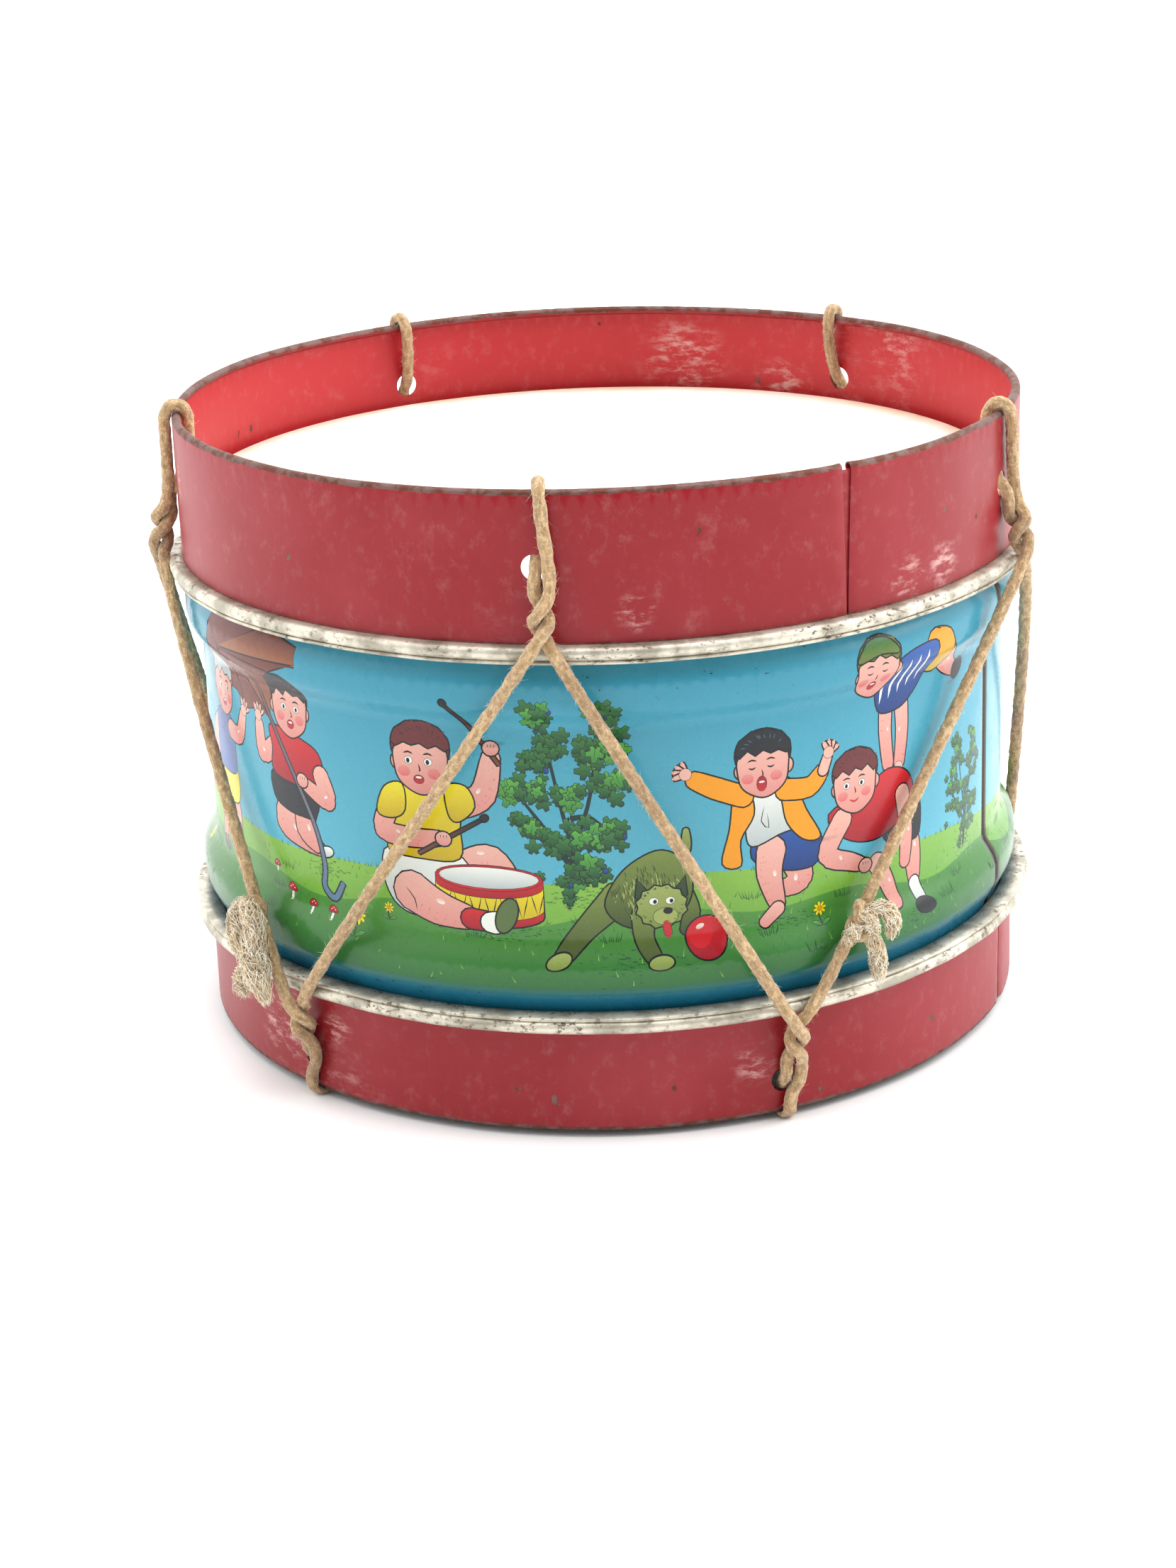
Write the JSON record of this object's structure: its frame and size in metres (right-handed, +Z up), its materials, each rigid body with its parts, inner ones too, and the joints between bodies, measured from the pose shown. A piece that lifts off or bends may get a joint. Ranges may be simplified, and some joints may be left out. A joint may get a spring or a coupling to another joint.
{
  "type": "laced tin toy drum",
  "caption": "Laced tin toy drum: printed shell with pressed beads, red counterhoops, bare tin flesh hoops, two heads and a zigzag cord.",
  "frame": {"origin": "centre of the drum on the surface that it stands on", "axes": "+Z up along the drum's axis, -Y towards the front, +X to the right seen from the front"},
  "size_m": [0.2327, 0.2351, 0.1669],
  "materials": {
    "printed_tin": "glossy lithographed print under varnish",
    "red_paint": "satin red stove enamel, scuffed and chalky in places, worn to bare tin at the rim",
    "bare_tin": "dull tinplate with brown rust spots",
    "drum_head": "smooth white vellum, yellowed at the edge",
    "lacing_cord": "twisted cotton cord, tan, slightly hairy",
    "frayed_cord": "unlaid fibres of the same cord"
  },
  "bodies": {
    "root": {"shell": "printed_tin", "upper_counterhoop": "red_paint", "lower_counterhoop": "red_paint", "upper_flesh_hoop": "bare_tin", "lower_flesh_hoop": "bare_tin", "upper_head": "drum_head", "lower_head": "drum_head", "front_cord": "lacing_cord", "rear_cord": "lacing_cord", "cord_foot_turns": "lacing_cord", "left_knot": "frayed_cord", "right_knot": "frayed_cord"}
  },
  "joints": []
}
